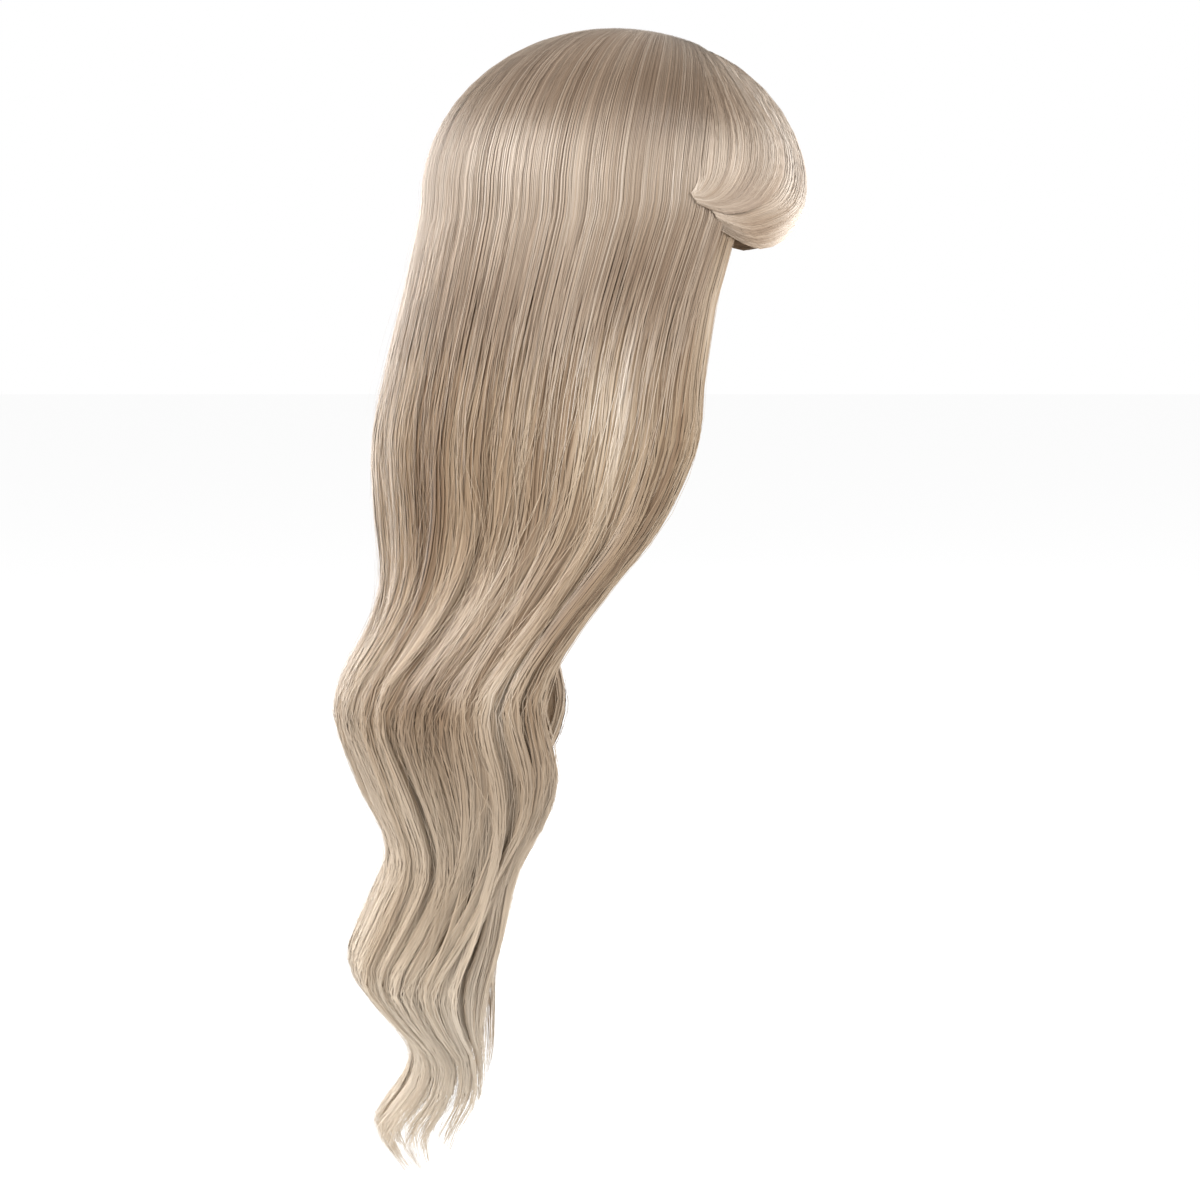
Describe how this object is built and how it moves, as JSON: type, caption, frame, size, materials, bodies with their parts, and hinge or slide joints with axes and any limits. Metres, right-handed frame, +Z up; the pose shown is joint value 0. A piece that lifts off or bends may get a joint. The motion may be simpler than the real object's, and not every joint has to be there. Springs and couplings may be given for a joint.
{
  "type": "long wavy wig",
  "caption": "Long ash-blonde wig on an open stretch cap, straight and parted at the crown, with a rolled fringe and waved locks falling down the back.",
  "frame": {"origin": "top of the inside of the cap, where the crown of a head comes to rest", "axes": "+Z up, the face looks along -Y, the wearer's right side is -X"},
  "size_m": [0.2346, 0.2844, 0.7035],
  "materials": {
    "cap_net": "matt stretch net",
    "crown_hair": "soft satin fibre",
    "fringe_hair": "soft satin fibre",
    "long_hair": "soft satin fibre"
  },
  "bodies": {
    "root": {"cap_top": "cap_net", "cap_front": "cap_net", "cap_back": "cap_net", "cap_side_right": "cap_net", "cap_side_left": "cap_net", "crown_right": "crown_hair", "crown_left": "crown_hair", "fringe_sweep_right": "fringe_hair", "fringe_sweep_left": "fringe_hair", "fringe_roll_right": "fringe_hair", "fringe_roll_left": "fringe_hair", "face_lock_right": "long_hair", "face_lock_left": "long_hair", "long_lock_right_1": "long_hair", "long_lock_left_1": "long_hair", "long_lock_right_2": "long_hair", "long_lock_left_2": "long_hair", "long_lock_right_3": "long_hair", "long_lock_left_3": "long_hair", "long_lock_right_4": "long_hair", "long_lock_left_4": "long_hair", "long_lock_right_5": "long_hair", "long_lock_left_5": "long_hair"}
  },
  "joints": []
}
